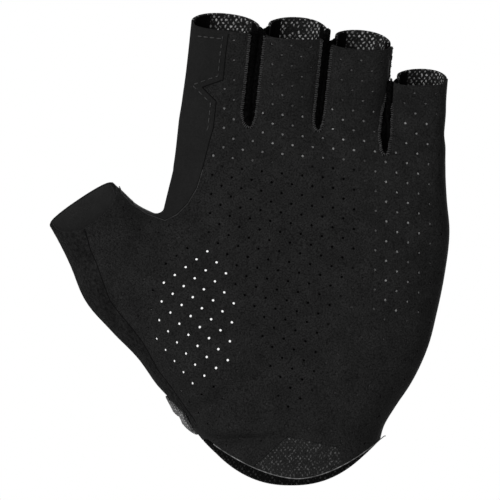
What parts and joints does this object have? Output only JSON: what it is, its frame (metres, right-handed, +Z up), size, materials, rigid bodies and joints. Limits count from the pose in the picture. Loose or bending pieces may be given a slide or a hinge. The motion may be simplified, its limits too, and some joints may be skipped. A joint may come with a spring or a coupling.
{
  "type": "fingerless cycling glove",
  "caption": "Left-hand fingerless cycling glove: perforated suede palm, knitted back with a keyhole opening, thumb wipe, closure tab.",
  "frame": {"origin": "centre of the wrist opening, at the wrist line, with the glove held upright as a hand holds it", "axes": "+Z up along the hand to the fingers, +X from the thumb's side to the little finger's side, +Y from the palm to the back of the hand, so the palm faces -Y"},
  "size_m": [0.1358, 0.0438, 0.1612],
  "materials": {
    "palm": "matt black synthetic suede, perforated",
    "side": "smooth matt black stretch cloth",
    "wipe": "fuzzy black terry cloth",
    "insert": "ribbed charcoal knit",
    "mesh": "black mesh knit with light flecks",
    "cuff": "matt black elastic knit",
    "tab": "light grey heather knit"
  },
  "bodies": {
    "root": {"palm_panel": "palm", "index_side_panel": "side", "thumb_wipe_panel": "wipe", "heel_insert": "insert", "gusset_index_middle": "mesh", "gusset_middle_ring": "mesh", "gusset_ring_little": "mesh", "back_panel": "mesh", "cuff_band": "cuff", "closure_tab": "tab"}
  },
  "joints": []
}
